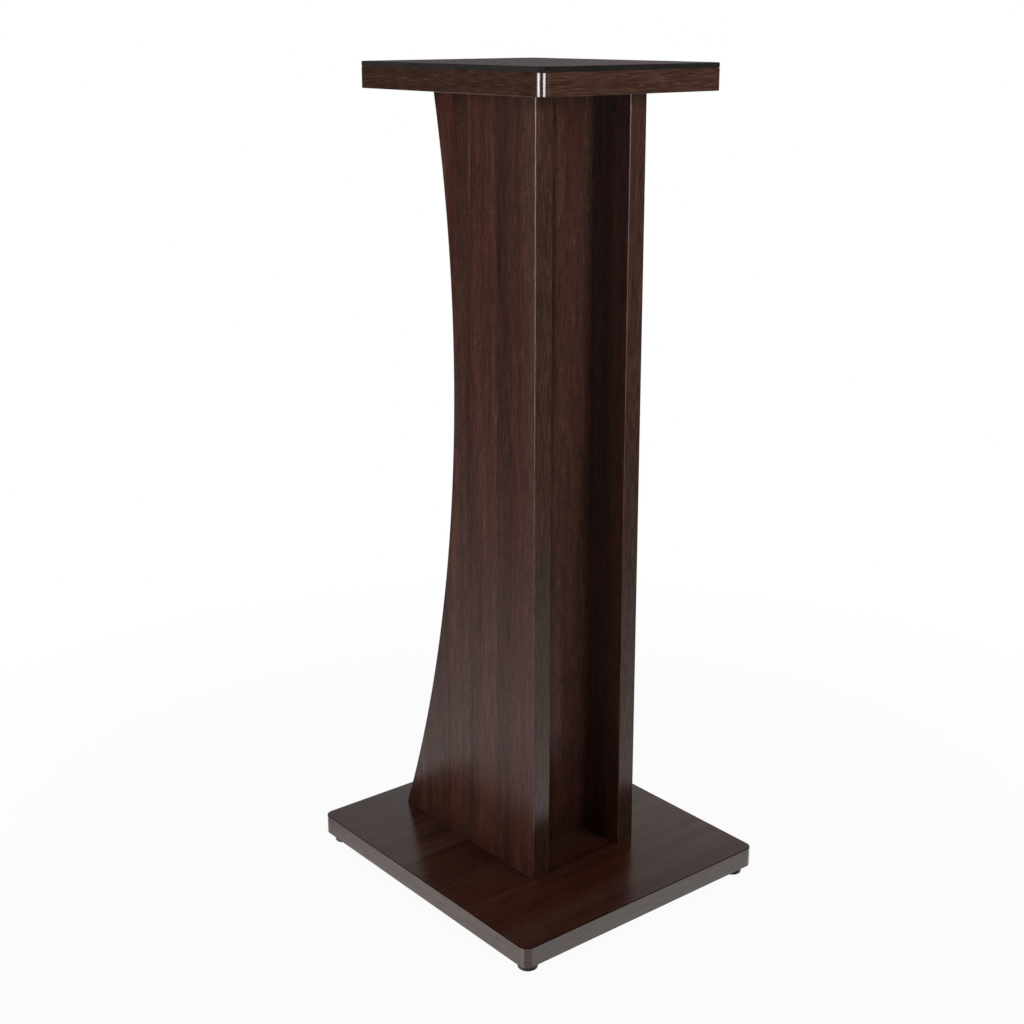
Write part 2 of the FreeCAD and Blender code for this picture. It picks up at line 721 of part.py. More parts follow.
def make_foot(name, x, y):
    """The disc of one foot, round below, with the socket for the stud's spigot above."""
    disc = turned(name + "_foot", (
        ("0", "0"), ("foot_dia / 2 - foot_softening", "0"), ("foot_dia / 2", "foot_softening"),
        ("foot_dia / 2", "disc_thick"), ("spigot_dia / 2 + spigot_play", "disc_thick"),
        ("spigot_dia / 2 + spigot_play", "disc_thick - spigot_deep - spigot_play"),
        ("0", "disc_thick - spigot_deep - spigot_play")))
    return place(disc, x=x, y=y)


def make_stud(name, x, y):
    """The stud of one foot: a spigot in the disc, a hexagon collar and a shank into the base."""
    collar = hexagon(name + "_collar", "collar_across / sqrt(3)", "collar_thick")
    rod = turned(name + "_rod", (
        ("0", "-spigot_deep"), ("spigot_dia / 2", "-spigot_deep"),
        ("spigot_dia / 2", "collar_thick / 2"), ("stud_dia / 2", "collar_thick / 2"),
        ("stud_dia / 2", "collar_thick + stud_reach"), ("0", "collar_thick + stud_reach")))
    stud = doc.addObject("Part::MultiFuse", name + "_stud")
    stud.Label = name + "_stud"
    stud.Shapes = [collar, rod]
    return place(stud, x=x, y=y, z="disc_thick")


def make_feet():
    nodes = []
    for end, y in (("front", "-foot_y"), ("rear", "foot_y")):
        for side, x in (("left", "-foot_x"), ("right", "foot_x")):
            name = end + "_" + side
            nodes.append(make_foot(name, x, y))
            nodes.append(make_stud(name, x, y))
    return nodes


# ---- the whole stand ----


def make_all():
    nodes = [make_base_board(), plate_band("base"), make_top_board(), plate_band("top")]
    nodes += [make_top_pad(), make_web_panel()]
    for name, side, inward in (("left", "-", 1), ("right", "", -1)):
        nodes.append(make_side_panel(name, inward))
        nodes.append(make_front_band(name, side))
        nodes.append(make_rear_band(name, side))
    nodes += make_fasteners()
    nodes += make_feet()
    doc.recompute()
    return nodes


def check(nodes):
    """Stop if any object failed or any node has no sound solid."""
    for item in doc.Objects:
        if "Invalid" in item.State or "Error" in item.State:
            raise RuntimeError("%s failed: %s" % (item.Label, item.State))
    for node in nodes:
        shape = node.Shape
        if shape.isNull() or not shape.isValid() or not shape.Solids:
            raise RuntimeError(node.Label + " has no sound solid")


def write(nodes):
    os.makedirs("parts", exist_ok=True)
    for node in nodes:
        node.Shape.exportStep("parts/%s.step" % node.Label)
        box = node.Shape.BoundBox
        print("%-24s %2d solids  %10.1f mm3  x %.1f..%.1f  y %.1f..%.1f  z %.1f..%.1f" % (
            node.Label, len(node.Shape.Solids), node.Shape.Volume,
            box.XMin, box.XMax, box.YMin, box.YMax, box.ZMin, box.ZMax))


fill_sheet()
stand = make_all()
check(stand)
write(stand)
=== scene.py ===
"""Speaker stand in walnut-print laminated board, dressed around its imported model.

A base plate on four levelling feet carries an H-shaped column of two side panels and a
set-back web, and a smaller top plate with a thin pad. Every length is in metres.
"""

import math

import bmesh
import bpy
from mathutils import Matrix, Vector


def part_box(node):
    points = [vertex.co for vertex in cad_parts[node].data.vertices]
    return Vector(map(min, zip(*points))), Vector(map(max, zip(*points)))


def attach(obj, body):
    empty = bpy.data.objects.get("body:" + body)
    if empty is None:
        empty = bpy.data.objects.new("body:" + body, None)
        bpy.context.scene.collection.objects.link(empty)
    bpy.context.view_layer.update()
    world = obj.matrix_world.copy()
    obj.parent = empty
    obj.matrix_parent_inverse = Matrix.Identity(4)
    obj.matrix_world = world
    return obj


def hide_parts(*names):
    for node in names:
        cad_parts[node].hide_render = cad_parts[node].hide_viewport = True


bl_info = {
    "name": "Walnut speaker stand",
    "version": (1, 0, 0),
    "blender": (4, 5, 0),
    "location": "3D View > Sidebar > Speaker stand",
    "description": "Dresses the packed speaker stand with its bands, pad, feet and finishes",
    "category": "Object",
}

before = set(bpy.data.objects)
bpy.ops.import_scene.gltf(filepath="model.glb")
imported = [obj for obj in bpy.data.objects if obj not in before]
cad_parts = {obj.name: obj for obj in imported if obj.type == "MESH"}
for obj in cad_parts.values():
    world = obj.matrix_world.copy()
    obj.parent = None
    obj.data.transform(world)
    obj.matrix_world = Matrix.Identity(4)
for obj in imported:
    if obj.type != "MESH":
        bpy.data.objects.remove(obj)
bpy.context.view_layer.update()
MM = 0.001

SIDES = ("left", "right")
CORNERS = ("front_left", "front_right", "rear_left", "rear_right")
COLUMN_BOARDS = ("left_side_panel", "right_side_panel", "web_panel")
PLATE_BOARDS = ("base_board", "top_board")

# points this close are one point, and an edge whose ends are this close in height is level
SAME = 1e-6
# an edge that turns by more than this stays sharp
SHARP = math.radians(35)
# segments in a rounded corner, a rounded arris and the pad's softened edge
CORNER_STEPS, ARRIS_STEPS, SOFT_STEPS = 10, 3, 4
# segments in the rear arc and round a foot, a thread and a spigot
ARC_STEPS, FOOT_STEPS, THREAD_STEPS, SPIGOT_STEPS = 72, 48, 28, 32
FILM_IOR, FOAM_IOR = 1.5, 1.45
# the axes that a pattern runs along
ACROSS, UPRIGHT, ROUND_PLATES, UP_AND_BACK = (1, 0, 0), (0, 0, 1), (1, 1, 0), (0, 1, 1)
NO_RUN = (0, 0, 0)


# ------------------------------------------------------------------ sizes and colours


def length(name, description, default, low=0.0, high=0.1):
    """One length of the stand that a user may change, in metres."""
    return bpy.props.FloatProperty(
        name=name,
        description=description,
        default=default,
        min=low,
        max=high,
        unit="LENGTH",
        precision=5,
    )


def shade(name, description, default):
    """One colour of the stand that a user may change, as sRGB hex."""
    return bpy.props.StringProperty(name=name, description=description, default=default)


class StandSizes(bpy.types.PropertyGroup):
    """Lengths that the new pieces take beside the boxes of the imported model."""

    plate_corner: length("Plate corner", "Radius of the plates' corners", 0.010)
    band_thick: length("Band thickness", "Thickness of every edge band", 0.001)
    band_arris: length("Band arris", "Rounding of the column bands' edges", 0.0009)
    plate_arris: length("Plate arris", "Rounding of the plate bands' edges", 0.00054)
    rear_radius: length("Rear radius", "Radius of the concave rear edge", 1.512, 0.5, 5)
    waist_y: length("Waist place", "Y of the rear edge at the waist", 0.0495, -1, 1)
    waist_z: length("Waist height", "Z of the waist above the floor", 0.5835, 0, 2)
    pad_softening: length("Pad softening", "Rounding of the pad's edges", 0.0012)
    disc_softening: length("Foot softening", "Rounding of a foot's edge", 0.0012)
    disc_hollow: length("Foot hollow", "Hollow beneath a foot", 0.0006)
    socket_radius: length("Socket radius", "Radius of a foot's socket", 0.00405)
    spigot_radius: length("Spigot radius", "Radius of a stud's spigot", 0.004)
    collar_height: length("Collar height", "Height of a stud's hexagon", 0.003)
    collar_across: length("Collar width", "Hexagon's width across flats", 0.013)
    stud_radius: length("Stud radius", "Outer radius of the M6 thread", 0.003)
    thread_pitch: length("Thread pitch", "Pitch of the M6 studs", 0.001)
    thread_deep: length("Thread depth", "Depth of the M6 thread", 0.0006)


class StandColours(bpy.types.PropertyGroup):
    """Colours of the stand's finishes, as sRGB hex."""

    walnut_dark: shade("Walnut dark", "Dark figure of the printed walnut", "#2F1812")
    walnut_mid: shade("Walnut middle", "Main colour of the printed walnut", "#542C21")
    walnut_light: shade("Walnut light", "Pale streaks of the walnut", "#7D4C38")
    walnut_grey: shade("Walnut grey", "Greyed streaks of the walnut", "#634439")
    band_light: shade("Band light", "Pale lines of the edge bands", "#785C4F")
    band_mid: shade("Band", "Main colour of the edge bands", "#54392E")
    band_dark: shade("Band dark", "Fine dark lines of the edge bands", "#332019")
    joint_line: shade("Joint line", "Glue line at the bands' arrises", "#150C09")
    pad: shade("Pad", "Foam rubber of the pad", "#1E1A1A")
    pad_lint: shade("Pad lint", "Lint and dust on the pad", "#6E6662")
    cap: shade("Cap", "Moulded plastic of the cover caps", "#4A2C22")
    foot: shade("Foot", "Moulded plastic of the feet", "#111112")
    zinc_plate: shade("Zinc plate", "Bright zinc-plated steel", "#B9BCC0")
    zinc_cast: shade("Zinc casting", "Die-cast zinc of the cams", "#8E9093")
    beech: shade("Beech", "Dowel wood", "#C79F70")


def sizes():
    """The stand's sizes in the open scene."""
    return bpy.context.scene.stand_sizes


def colours():
    """The stand's colours in the open scene."""
    return bpy.context.scene.stand_colours


# ------------------------------------------------------------------ helpers


def linear(hex_colour):
    """sRGB hex to the linear colour that a shader takes."""
    parts = [int(hex_colour[i : i + 2], 16) / 255 for i in (1, 3, 5)]
    return tuple(
        c / 12.92 if c <= 0.04045 else ((c + 0.055) / 1.055) ** 2.4 for c in parts
    ) + (1.0,)


def per_metre(millimetres):
    """A texture's scale from the real size of one of its features."""
    return 1000.0 / millimetres


def add_node(tree, kind, inputs=None, stops=None, **settings):
    """Adds one node. inputs are values, or sockets to link, and stops are a ramp's places and
    colours."""
    node = tree.nodes.new(kind)
    for key, value in settings.items():
        setattr(node, key, value)
    for key, value in (inputs or {}).items():
        socket = node.inputs[key]
        if isinstance(value, bpy.types.NodeSocket):
            tree.links.new(value, socket)
        else:
            socket.default_value = value
    if stops:
        ramp = node.color_ramp.elements
        while len(ramp) < len(stops):
            ramp.new(0.5)
        for element, (place, colour) in zip(ramp, stops):
            element.position = place
            element.color = colour
    return node


def blank_material(name):
    """A node material with only its output and its surface shader."""
    material = bpy.data.materials.new(name)
    material.use_nodes = True
    tree = material.node_tree
    tree.nodes.clear()
    surface = add_node(tree, "ShaderNodeBsdfPrincipled")
    out = add_node(tree, "ShaderNodeOutputMaterial")
    tree.links.new(surface.outputs["BSDF"], out.inputs["Surface"])
    return material, tree, surface


def grey(value):
    """A grey as a shader's colour."""
    return (value, value, value, 1.0)


def finished(mesh, name, body, material, replaced=()):
    """Turns a bmesh into a named piece that rides on its body in place of its CAD nodes."""
    data = bpy.data.meshes.new(name)
    mesh.to_mesh(data)
    mesh.free()
    piece = bpy.data.objects.new(name, data)
    bpy.context.scene.collection.objects.link(piece)
    piece.data.materials.append(material)
    # the large flats keep their own normals beside the small rounded edges
    even = piece.modifiers.new("even_shading", "WEIGHTED_NORMAL")
    even.keep_sharp = True
    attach(piece, body)
    if replaced:
        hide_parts(*replaced)
    return piece


def smoothed(mesh):
    """Shades a mesh smooth and keeps its sharp edges."""
    for face in mesh.faces:
        face.smooth = True
    for edge in mesh.edges:
        if len(edge.link_faces) == 2 and edge.calc_face_angle(0) > SHARP:
            edge.smooth = False


def rounded(mesh, edges, radius, segments):
    """Rounds edges of a mesh."""
    bmesh.ops.bevel(
        mesh,
        geom=edges,
        offset=radius,
        offset_type="OFFSET",
        affect="EDGES",
        segments=segments,
        profile=0.5,
        material=-1,
        clamp_overlap=True,
    )


def block(low, high):
    """A bmesh box between two corners."""
    mesh = bmesh.new()
    low, high = Vector(low), Vector(high)
    bmesh.ops.create_cube(mesh, size=1)
    bmesh.ops.scale(mesh, vec=high - low, verts=mesh.verts)
    bmesh.ops.translate(mesh, vec=(low + high) / 2, verts=mesh.verts)
    return mesh


def is_level(edge):
    """Whether an edge lies at one height."""
    return abs(edge.verts[0].co.z - edge.verts[1].co.z) < SAME


def upright_edges(mesh):
    """The edges of a mesh that don't lie level."""
    return [edge for edge in mesh.edges if not is_level(edge)]


def outward(mesh):
    """Joins double points and turns the faces outward."""
    bmesh.ops.remove_doubles(mesh, verts=mesh.verts, dist=SAME)
    bmesh.ops.recalc_face_normals(mesh, faces=mesh.faces)


def cut_level(mesh, z, up):
    """Cuts a mesh off at a height and drops what is above it (up 1) or below it (up -1)."""
    bmesh.ops.bisect_plane(
        mesh,
        geom=mesh.verts[:] + mesh.edges[:] + mesh.faces[:],
        plane_co=(0, 0, z),
        plane_no=(0, 0, up),
        clear_outer=True,
    )


def fill_open_ends(mesh):
    """Closes every open rim of a mesh."""
    rim = [edge for edge in mesh.edges if edge.is_boundary]
    bmesh.ops.holes_fill(mesh, edges=rim, sides=0)


def lathe(profile, centre, steps):
    """Spins a profile of (radius, height) points about an upright axis through centre."""
    mesh = bmesh.new()
    points = [mesh.verts.new((r, 0, z)) for r, z in profile]
    for a, b in zip(points, points[1:]):
        mesh.edges.new((a, b))
    bmesh.ops.spin(
        mesh,
        geom=mesh.verts[:] + mesh.edges[:],
        cent=(0, 0, 0),
        axis=(0, 0, 1),
        angle=math.tau,
        steps=steps,
        use_merge=True,
    )
    outward(mesh)
    bmesh.ops.translate(mesh, vec=centre, verts=mesh.verts)
    return mesh


# ------------------------------------------------------------------ finishes


def grain(tree, run, squeeze, size_mm, detail=2.0, roughness=0.5, distortion=0.0):
    """One layer of wood pattern. Its features are size_mm wide across the grain and are drawn
    out by 1 / squeeze along it. run marks the axes that the grain runs along."""
    place = add_node(tree, "ShaderNodeTexCoord").outputs["Object"]
    scale = [squeeze if along else 1.0 for along in run]
    drawn = add_node(
        tree, "ShaderNodeMapping", {"Vector": place, "Scale": scale}
    ).outputs["Vector"]
    return add_node(
        tree,
        "ShaderNodeTexNoise",
        {
            "Vector": drawn,
            "Scale": per_metre(size_mm),
            "Detail": detail,
            "Roughness": roughness,
            "Distortion": distortion,
        },
    ).outputs["Fac"]


def spread(tree, pattern, span, tones):
    """Stretches a pattern's span of values over two tones."""
    return add_node(
        tree,
        "ShaderNodeMapRange",
        {
            "Value": pattern,
            "From Min": span[0],
            "From Max": span[1],
            "To Min": tones[0],
            "To Max": tones[1],
        },
    ).outputs["Result"]


def shaded(tree, colour, pattern, span, tones):
    """A colour, darker and lighter by a pattern."""
    tone = spread(tree, pattern, span, tones)
    return add_node(
        tree, "ShaderNodeVectorMath", {0: colour, "Scale": tone}, operation="SCALE"
    ).outputs["Vector"]


def blended(tree, share, first, second):
    """Two colours, mixed by a share."""
    return add_node(
        tree, "ShaderNodeMix", {0: share, 6: first, 7: second}, data_type="RGBA"
    ).outputs[2]


def relief(tree, surface, height, deep, strength):
    """Presses a pattern into a surface, as deep as given in metres."""
    bump = add_node(
        tree,
        "ShaderNodeBump",
        {"Height": height, "Distance": deep, "Strength": strength},
    ).outputs["Normal"]
    tree.links.new(bump, surface.inputs["Normal"])


def walnut_laminate(name, run, calm_and_painted_shade, dull):
    """Melamine-faced board: printed walnut under a satin resin film. The print gives soft wide
    stripes, fine lines and short dark pores, and the film an even low gloss with the pores
    pressed in. Short pale flecks on top are painted highlights. Its third argument is the share
    of the print's contrast that is left out, and it also lowers the stripes' tones, so a calmer
    copy is painted darker, as painted shade; dull is the film's roughness."""
    bold = 1.0 - calm_and_painted_shade
    c = colours()
    material, tree, surface = blank_material(name)
    figure = grain(tree, run, 0.04, 12, 4.0, 0.65, 0.4)
    colour = add_node(
        tree,
        "ShaderNodeValToRGB",
        {"Fac": figure},
        stops=[
            (0.22, linear(c.walnut_dark)),
            (0.47, linear(c.walnut_mid)),
            (0.57, linear(c.walnut_mid)),
            (0.82, linear(c.walnut_light)),
        ],
    ).outputs["Color"]
    colour = blended(tree, calm_and_painted_shade, colour, linear(c.walnut_mid))
    greying = spread(tree, grain(tree, run, 0.04, 24), (0.45, 0.65), (0.0, 0.6))
    colour = blended(tree, greying, colour, linear(c.walnut_grey))
    # the print's stripes are 20 to 40 mm wide, with one edge often sharper than the other
    stripes = grain(tree, run, 0.012, 30, 1.0, 0.4, 0.2)
    # a calmer copy's stripe tones drop too: painted shade, darker on the plates than on the
    # column
    colour = shaded(
        tree, colour, stripes, (0.47, 0.53), (0.82 - 0.05 * calm_and_painted_shade, 1.14 - 0.35 * calm_and_painted_shade)
    )
    lines = grain(tree, run, 0.06, 2.0, 4.0, 0.75, 0.3)
    tones = (1 - 0.44 * bold, 1 + 0.44 * bold)
    colour = shaded(tree, colour, lines, (0.34, 0.66), tones)
    threads = grain(tree, run, 0.05, 0.9, 1.0)
    tones = (1 - 0.3 * bold, 1 + 0.3 * bold)
    colour = shaded(tree, colour, threads, (0.36, 0.64), tones)
    # real pores are about 0.2 mm wide: drawn 0.9 mm wide so that they show
    pores = grain(tree, run, 0.25, 0.9, 2.0, 0.6)
    colour = shaded(tree, colour, pores, (0.36, 0.50), (1 - 0.55 * bold, 1.0))
    # painted highlights: short pale flecks lighten the print's colour where the film would
    # catch the light
    painted_glints = grain(tree, run, 0.4, 1.1, 1.0)
    colour = shaded(tree, colour, painted_glints, (0.56, 0.72), (1.0, 1 + 0.6 * bold))
    gloss = spread(tree, lines, (0.3, 0.7), (dull - 0.03, dull + 0.03))
    relief(tree, surface, pores, 0.00004, 0.5)
    tree.links.new(colour, surface.inputs["Base Color"])
    tree.links.new(gloss, surface.inputs["Roughness"])
    surface.inputs["IOR"].default_value = FILM_IOR
    return material


def band_print(name, run, line_mm, gloss, tone, rim=None):
    """Edge banding: a millimetre of plastic printed with fine wood lines along its run. It
    gives a glossy strip a little greyer than the board. gloss is its roughness, tone lightens
    the whole print, which on the base's band is painted light, and rim is the span of heights
    of a dark glue line."""
    c = colours()
    material, tree, surface = blank_material(name)
    lines = grain(tree, run, 0.04, line_mm, 3.0, 0.6, 0.2)
    colour = add_node(
        tree,
        "ShaderNodeValToRGB",
        {"Fac": lines},
        stops=[
            (0.24, linear(c.band_dark)),
            (0.50, linear(c.band_mid)),
            (0.78, linear(c.band_light)),
        ],
    ).outputs["Color"]
    drift = grain(tree, run, 0.06, 8, 2.0)
    colour = shaded(tree, colour, drift, (0.35, 0.65), (0.9 * tone, 1.1 * tone))
    if rim:
        place = add_node(tree, "ShaderNodeTexCoord").outputs["Object"]
        height = add_node(tree, "ShaderNodeSeparateXYZ", {"Vector": place}).outputs["Z"]
        glue = spread(tree, height, rim, (0.0, 1.0))
        colour = blended(tree, glue, colour, linear(c.joint_line))
    relief(tree, surface, lines, 0.000005, 0.2)
    tree.links.new(colour, surface.inputs["Base Color"])
    surface.inputs["Roughness"].default_value = gloss
    surface.inputs["IOR"].default_value = FILM_IOR
    return material


def foam_rubber(name):
    """Cut sheet of cellular rubber: matt and black, with fine cells, a little lint and a soft
    warm sheen at a low angle."""
    c = colours()
    material, tree, surface = blank_material(name)
    clouds = grain(tree, NO_RUN, 1, 6, 4.0)
    colour = shaded(tree, linear(c.pad)[:3], clouds, (0.3, 0.7), (0.75, 1.35))
    lint = spread(tree, grain(tree, NO_RUN, 1, 1.6, 1.0), (0.66, 0.76), (0.0, 1.0))
    colour = blended(tree, lint, colour, linear(c.pad_lint))
    # real cells are about 0.3 mm: drawn 0.8 mm so that they show
    place = add_node(tree, "ShaderNodeTexCoord").outputs["Object"]
    cells = add_node(
        tree, "ShaderNodeTexVoronoi", {"Vector": place, "Scale": per_metre(0.8)}
    ).outputs["Distance"]
    relief(tree, surface, cells, 0.0003, 0.6)
    tree.links.new(colour, surface.inputs["Base Color"])
    surface.inputs["Roughness"].default_value = 0.85
    surface.inputs["Sheen Weight"].default_value = 0.2
    surface.inputs["Sheen Roughness"].default_value = 0.45
    surface.inputs["Sheen Tint"].default_value = (1.0, 0.82, 0.78, 1.0)
    surface.inputs["IOR"].default_value = FOAM_IOR
    return material


def moulded_plastic(name, colour, roughness, spark_mm):
    """Injection-moulded plastic from a spark-eroded tool: one colour through, with a fine even
    grain that breaks its soft gloss."""
    material, tree, surface = blank_material(name)
    skin = grain(tree, NO_RUN, 1, spark_mm)
    colour = shaded(tree, linear(colour)[:3], skin, (0, 1), (0.85, 1.15))
    gloss = spread(tree, skin, (0, 1), (roughness - 0.08, roughness + 0.08))
    relief(tree, surface, skin, 0.00005, 0.35)
    tree.links.new(colour, surface.inputs["Base Color"])
    tree.links.new(gloss, surface.inputs["Roughness"])
    surface.inputs["IOR"].default_value = FILM_IOR
    return material


def plated_metal(name, colour, roughness, grain_mm, bite):
    """Zinc, plated or cast: a bright soft metal with cloudy tone and a fine skin, rougher where
    it is cast."""
    material, tree, surface = blank_material(name)
    skin = grain(tree, NO_RUN, 1, grain_mm, 3.0)
    colour = shaded(tree, linear(colour)[:3], skin, (0, 1), (0.8, 1.1))
    gloss = spread(tree, skin, (0, 1), (roughness - 0.1, roughness + 0.1))
    relief(tree, surface, skin, bite, 0.4)
    tree.links.new(colour, surface.inputs["Base Color"])
    tree.links.new(gloss, surface.inputs["Roughness"])
    surface.inputs["Metallic"].default_value = 1.0
    return material


def beech_dowel(name):
    """Turned beech: pale tan with small darker flecks, dull and dry."""
    material, tree, surface = blank_material(name)
    flecks = grain(tree, NO_RUN, 1, 1.5, 3.0)
    colour = shaded(tree, linear(colours().beech)[:3], flecks, (0.3, 0.7), (0.75, 1.1))
    relief(tree, surface, flecks, 0.0001, 0.4)
    tree.links.new(colour, surface.inputs["Base Color"])
    surface.inputs["Roughness"].default_value = 0.7
    return material


def coat(material, *nodes):
    """Gives CAD nodes that keep their own shape a better finish."""
    for name in nodes:
        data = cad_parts[name].data
        if not data.materials:
            data.materials.append(material)
        for i in range(len(data.materials)):
            data.materials[i] = material


# ------------------------------------------------------------------ pieces


class STAND_OT_boards(bpy.types.Operator):
    """Give the boards their walnut print, upright on the column and across on the plates"""

    bl_idname = "stand.boards"
    bl_label = "Laminated boards"

    def execute(self, context):
        column = walnut_laminate("walnut_laminate_upright", UPRIGHT, 0.0, 0.34)
        # the plates' copy is calmer, so its print is painted darker: painted shade on the
        # plates
        plates = walnut_laminate("walnut_laminate_across", ACROSS, 0.5, 0.22)
        coat(column, *COLUMN_BOARDS)
        coat(plates, *PLATE_BOARDS)
        return {"FINISHED"}


class STAND_OT_plate_bands(bpy.types.Operator):
    """Wrap the two plates in their edge bands"""

    bl_idname = "stand.plate_bands"
    bl_label = "Plate edge bands"

    def execute(self, context):
        s = sizes()
        # the base's band is painted lighter than the top's, as painted light from the bright
        # floor it faces, and has a dark glue line 0.4 to 1 mm below its top
        for plate, glue_mm, tone in (("base", (0.4, 1.0), 1.35), ("top", None, 1.1)):
            low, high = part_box(f"{plate}_edge_band")
            mesh = block(low, high)
            flats = [f for f in mesh.faces if abs(f.normal.z) > 0.9]
            bmesh.ops.delete(mesh, geom=flats, context="FACES_ONLY")
            rounded(mesh, upright_edges(mesh), s.plate_corner, CORNER_STEPS)
            outward(mesh)
            if sum(f.normal.dot(f.calc_center_median()) for f in mesh.faces) < 0:
                bmesh.ops.reverse_faces(mesh, faces=mesh.faces)
            bmesh.ops.solidify(mesh, geom=mesh.faces[:], thickness=s.band_thick)
            outward(mesh)
            arris = [e for e in mesh.edges if is_level(e) and e.calc_face_angle(0) > 1]
            widest = self.outer_edges(arris, low, high, s)
            rounded(mesh, widest, s.plate_arris, ARRIS_STEPS)
            smoothed(mesh)
            rim = None
            if glue_mm:
                rim = (high.z - glue_mm[1] * MM, high.z - glue_mm[0] * MM)
            finished(
                mesh,
                f"{plate}_band_wrap",
                "stand",
                band_print(f"edge_band_{plate}_print", ROUND_PLATES, 0.8, 0.12, tone, rim),
                [f"{plate}_edge_band"],
            )
        return {"FINISHED"}

    @staticmethod
    def outer_edges(edges, low, high, s):
        """The edges on the outside of a band, not on the side that is glued."""
        inset = s.band_thick * 0.5
        centre = (low + high) / 2
        half = (high - low) / 2
        kept = []
        for edge in edges:
            middle = (edge.verts[0].co + edge.verts[1].co) / 2 - centre
            over_x = abs(middle.x) - (half.x - s.plate_corner)
            over_y = abs(middle.y) - (half.y - s.plate_corner)
            if over_x > 0 and over_y > 0:
                reach = math.hypot(over_x, over_y)
            else:
                reach = max(over_x, over_y)
            if reach > s.plate_corner - inset:
                kept.append(edge)
        return kept


class STAND_OT_column_bands(bpy.types.Operator):
    """Band the straight front and concave rear edges of the side panels"""

    bl_idname = "stand.column_bands"
    bl_label = "Column edge bands"

    def execute(self, context):
        s = sizes()
        finish = band_print("edge_band_upright_print", UP_AND_BACK, 0.65, 0.2, 1.08)
        for side in SIDES:
            low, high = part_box(f"{side}_front_edge_band")
            mesh = block(low, high)
            front = [
                e
                for e in upright_edges(mesh)
                if (e.verts[0].co.y + e.verts[1].co.y) / 2 < (low.y + high.y) / 2
            ]
            rounded(mesh, front, s.band_arris, ARRIS_STEPS)
            smoothed(mesh)
            finished(
                mesh,
                f"{side}_front_band_strip",
                "stand",
                finish,
                [f"{side}_front_edge_band"],
            )
            self.rear(side, finish)
        return {"FINISHED"}

    def rear(self, side, finish):
        """A strip of the band's section swept round the arc, then cut level at both ends."""
        s = sizes()
        low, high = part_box(f"{side}_rear_edge_band")
        centre = Vector((0, s.waist_y + s.rear_radius, s.waist_z))
        spare = 5 * MM
        start = math.asin((low.z - spare - s.waist_z) / s.rear_radius)
        end = math.asin((high.z + spare - s.waist_z) / s.rear_radius)
        outer = centre.y - s.rear_radius
        mesh = bmesh.new()
        corners = [
            mesh.verts.new((x, outer + y, s.waist_z))
            for x, y in (
                (low.x, 0),
                (high.x, 0),
                (high.x, -s.band_thick),
                (low.x, -s.band_thick),
            )
        ]
        mesh.faces.new(corners)
        turn = Matrix.Rotation(-start, 3, "X")
        bmesh.ops.rotate(mesh, cent=centre, matrix=turn, verts=mesh.verts)
        bmesh.ops.spin(
            mesh,
            geom=mesh.verts[:] + mesh.edges[:] + mesh.faces[:],
            cent=centre,
            axis=(1, 0, 0),
            angle=start - end,
            steps=ARC_STEPS,
        )
        outward(mesh)
        for z, up in ((low.z, -1), (high.z, 1)):
            cut_level(mesh, z, up)
            fill_open_ends(mesh)
        outward(mesh)
        arris = [
            e
            for e in mesh.edges
            if abs(e.verts[0].co.x - e.verts[1].co.x) < SAME
            and abs(e.verts[0].co.z - e.verts[1].co.z) > 10 * SAME
            and e.calc_face_angle(0) > 1
            and all(
                abs((v.co - centre).yz.length - s.rear_radius) < s.band_thick / 2
                for v in e.verts
            )
        ]
        rounded(mesh, arris, s.band_arris, ARRIS_STEPS)
        smoothed(mesh)
        finished(
            mesh,
            f"{side}_rear_band_strip",
            "stand",
            finish,
            [f"{side}_rear_edge_band"],
        )


class STAND_OT_pad(bpy.types.Operator):
    """Lay the thin foam rubber pad on the top plate"""

    bl_idname = "stand.pad"
    bl_label = "Top pad"

    def execute(self, context):
        s = sizes()
        low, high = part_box("top_pad")
        mesh = block(low, high)
        rounded(mesh, upright_edges(mesh), s.plate_corner, CORNER_STEPS)
        level = [e for e in mesh.edges if is_level(e)]
        rounded(mesh, level, s.pad_softening, SOFT_STEPS)
        outward(mesh)
        smoothed(mesh)
        foam = foam_rubber("cut_foam_rubber")
        pad = finished(mesh, "pad_sheet", "stand", foam, ["top_pad"])
        return {"FINISHED"}


class STAND_OT_cover_caps(bpy.types.Operator):
    """Give the cover caps over the cam housings their plastic finish"""

    bl_idname = "stand.cover_caps"
    bl_label = "Cover caps"

    def execute(self, context):
        finish = moulded_plastic("moulded_cap_plastic", colours().cap, 0.3, 0.6)
        coat(finish, "top_cover_caps", "web_cover_caps")
        return {"FINISHED"}


